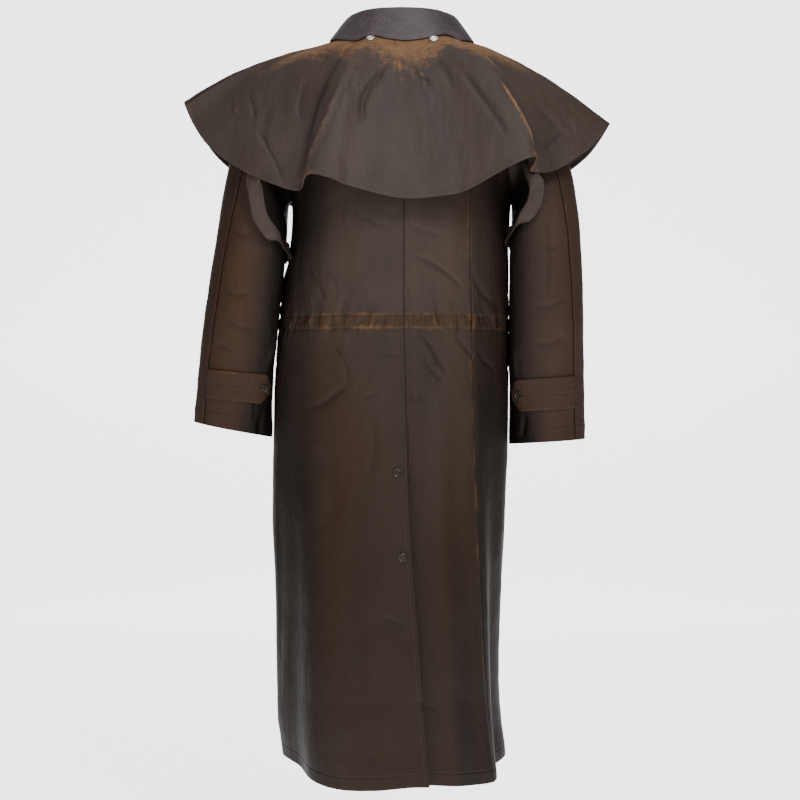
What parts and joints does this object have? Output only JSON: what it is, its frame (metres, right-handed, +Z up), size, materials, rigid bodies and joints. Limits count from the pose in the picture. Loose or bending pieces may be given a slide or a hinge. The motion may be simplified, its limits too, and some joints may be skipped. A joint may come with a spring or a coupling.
{
  "type": "duster coat",
  "caption": "Long waxed-cotton duster coat with a shoulder cape, turned-down collar, waist casing, snapped back vent and tabbed cuffs, open and hollow as worn.",
  "frame": {"origin": "middle of the neck opening at the height of the nape, where the wearer's shoulders carry the coat", "axes": "+Z up, the wearer faces -Y and the wearer's left is +X"},
  "size_m": [0.748, 0.4699, 1.301],
  "materials": {
    "oilskin": "dark brown waxed cotton, worn to orange brown along seams and folds",
    "collar": "dark brown leather with a dull sheen",
    "metal": "snap caps, some bright and some darkened"
  },
  "bodies": {
    "root": {"back_left": "oilskin", "back_right": "oilskin", "cape_back": "oilskin", "cape_front_left": "oilskin", "cape_front_right": "oilskin", "cape_snap_left": "metal", "cape_snap_right": "metal", "cape_strap_left": "oilskin", "cape_strap_right": "oilskin", "collar_fall": "collar", "collar_stand": "oilskin", "cuff_snap_left": "metal", "cuff_snap_right": "metal", "cuff_tab_left": "oilskin", "cuff_tab_right": "oilskin", "front_left": "oilskin", "front_right": "oilskin", "front_snap_1": "metal", "front_snap_2": "metal", "front_snap_3": "metal", "front_snap_4": "metal", "front_snap_5": "metal", "front_snap_6": "metal", "sleeve_left_top": "oilskin", "sleeve_left_under": "oilskin", "sleeve_right_top": "oilskin", "sleeve_right_under": "oilskin", "vent_snap_1": "metal", "vent_snap_2": "metal"}
  },
  "joints": []
}
